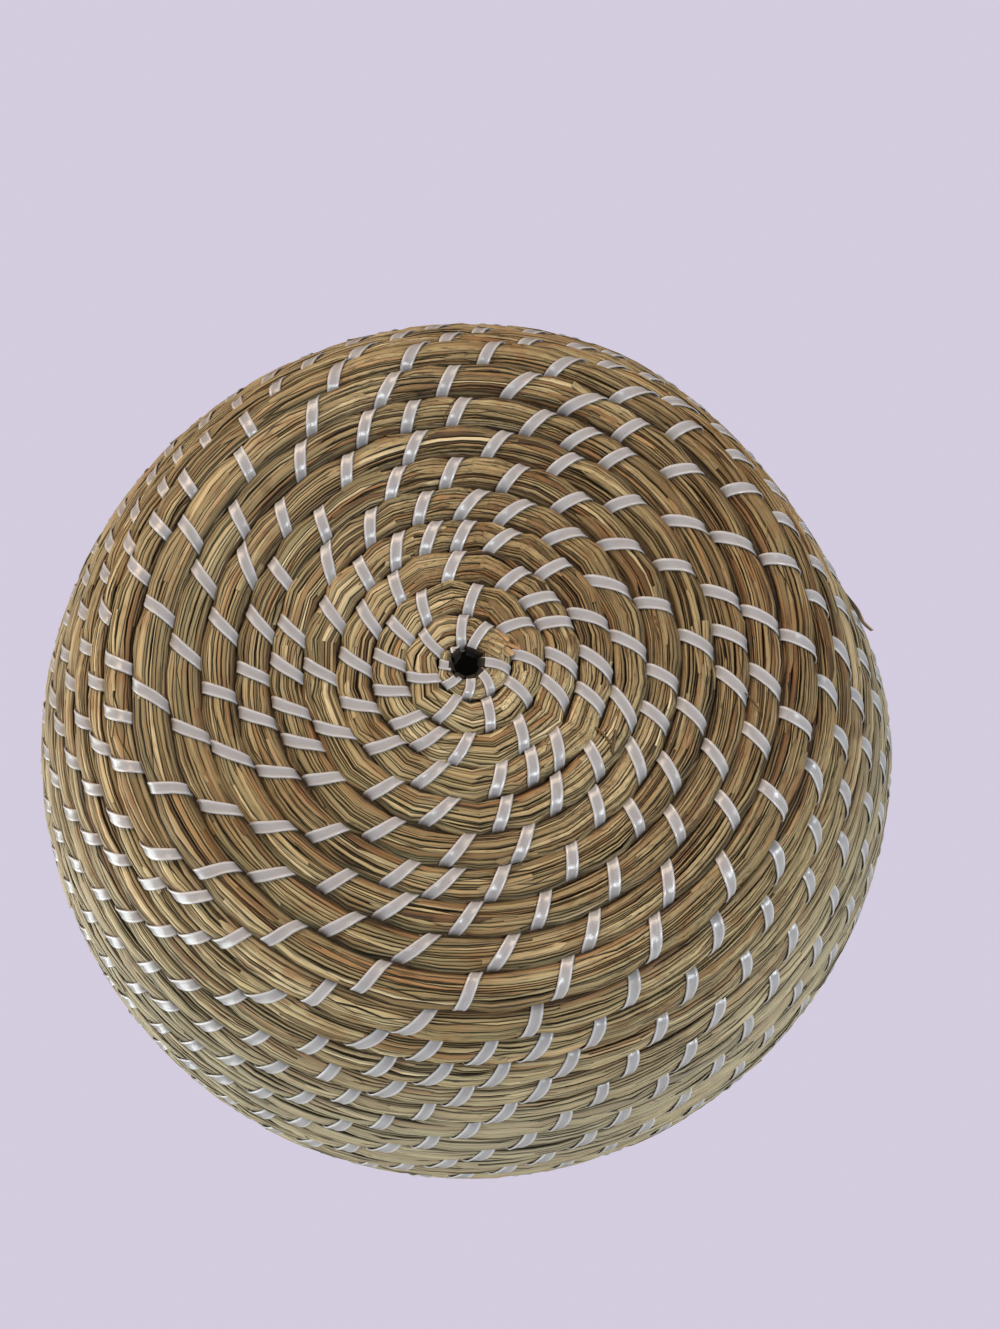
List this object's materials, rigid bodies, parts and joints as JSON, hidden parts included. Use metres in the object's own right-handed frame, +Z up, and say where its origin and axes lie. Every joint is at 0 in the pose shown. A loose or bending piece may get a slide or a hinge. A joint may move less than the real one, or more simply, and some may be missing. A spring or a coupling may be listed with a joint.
{
  "type": "coiled grass basket",
  "caption": "Round open basket coiled from one spiral bundle of dried grass, sewn row to row with a slanting white plastic strip; flat base, belly wall drawn in at the mouth and pressed in a little on one side.",
  "frame": {"origin": "centre of the base's underside, on the surface that the basket stands on", "axes": "+Z up through the open mouth; X and Y lie in the base; the coil starts at 330 degrees from +X and winds clockwise outwards, seen from above"},
  "size_m": [0.2951, 0.2938, 0.1477],
  "materials": {
    "grass": "matte, dried stems",
    "strip": "milky, slightly shiny"
  },
  "bodies": {
    "root": {"base_coil": "grass", "lower_wall_coil": "grass", "middle_wall_coil": "grass", "rim_coil": "grass", "strip_row_01": "strip", "strip_row_02": "strip", "strip_row_03": "strip", "strip_row_04": "strip", "strip_row_05": "strip", "strip_row_06": "strip", "strip_row_07": "strip", "strip_row_08": "strip", "strip_row_09": "strip", "strip_row_10": "strip", "strip_row_11": "strip", "strip_row_12": "strip", "strip_row_13": "strip", "strip_row_14": "strip", "strip_row_15": "strip", "strip_row_16": "strip", "strip_row_17": "strip", "strip_row_18": "strip", "strip_row_19": "strip", "strip_row_20": "strip", "strip_row_21": "strip", "strip_row_22": "strip", "strip_row_23": "strip", "strip_row_24": "strip"}
  },
  "joints": []
}
